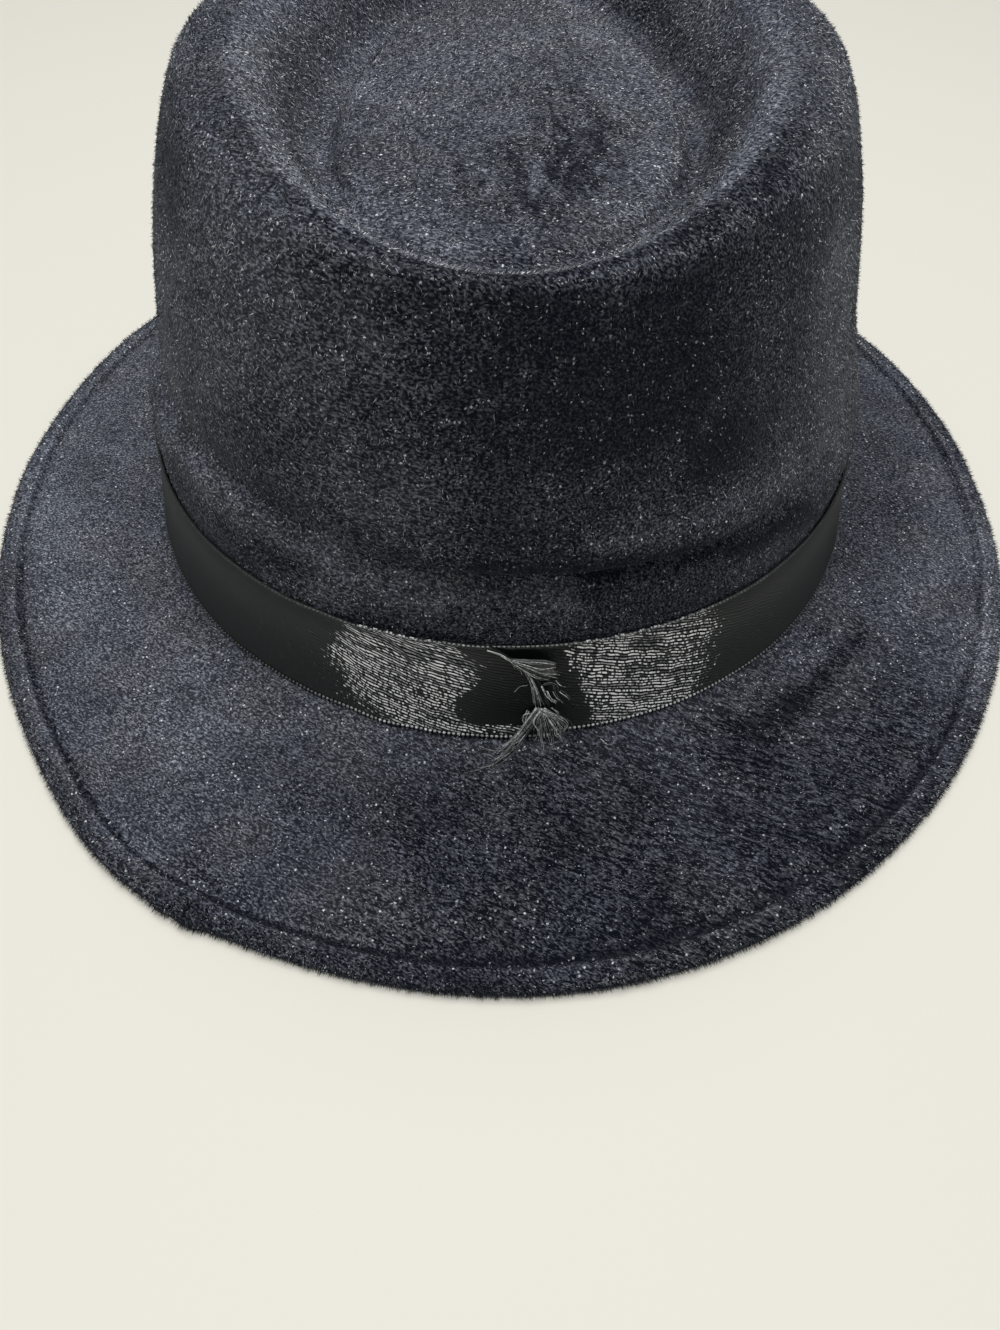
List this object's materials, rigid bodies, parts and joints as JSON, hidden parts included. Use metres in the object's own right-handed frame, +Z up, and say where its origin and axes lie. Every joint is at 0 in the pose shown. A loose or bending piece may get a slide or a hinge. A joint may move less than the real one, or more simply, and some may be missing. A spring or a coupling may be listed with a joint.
{
  "type": "velour costume hat",
  "caption": "Soft black velour hat with a dented crown, a flat oval brim with a rolled edge, and a satin ribbon lapped at the back.",
  "frame": {"origin": "middle of the brim's outline, on the plane that the rolled edge rests on", "axes": "+Z up through the crown, +Y towards the hat's front, +X towards the wearer's right"},
  "size_m": [0.269, 0.2994, 0.122],
  "materials": {
    "velour": "short dark navy-black pile with a fine sparkle",
    "satin": "black satin weave, bright where it faces the light"
  },
  "bodies": {
    "root": {"hat_shell": "velour", "ribbon_band": "satin"}
  },
  "joints": []
}
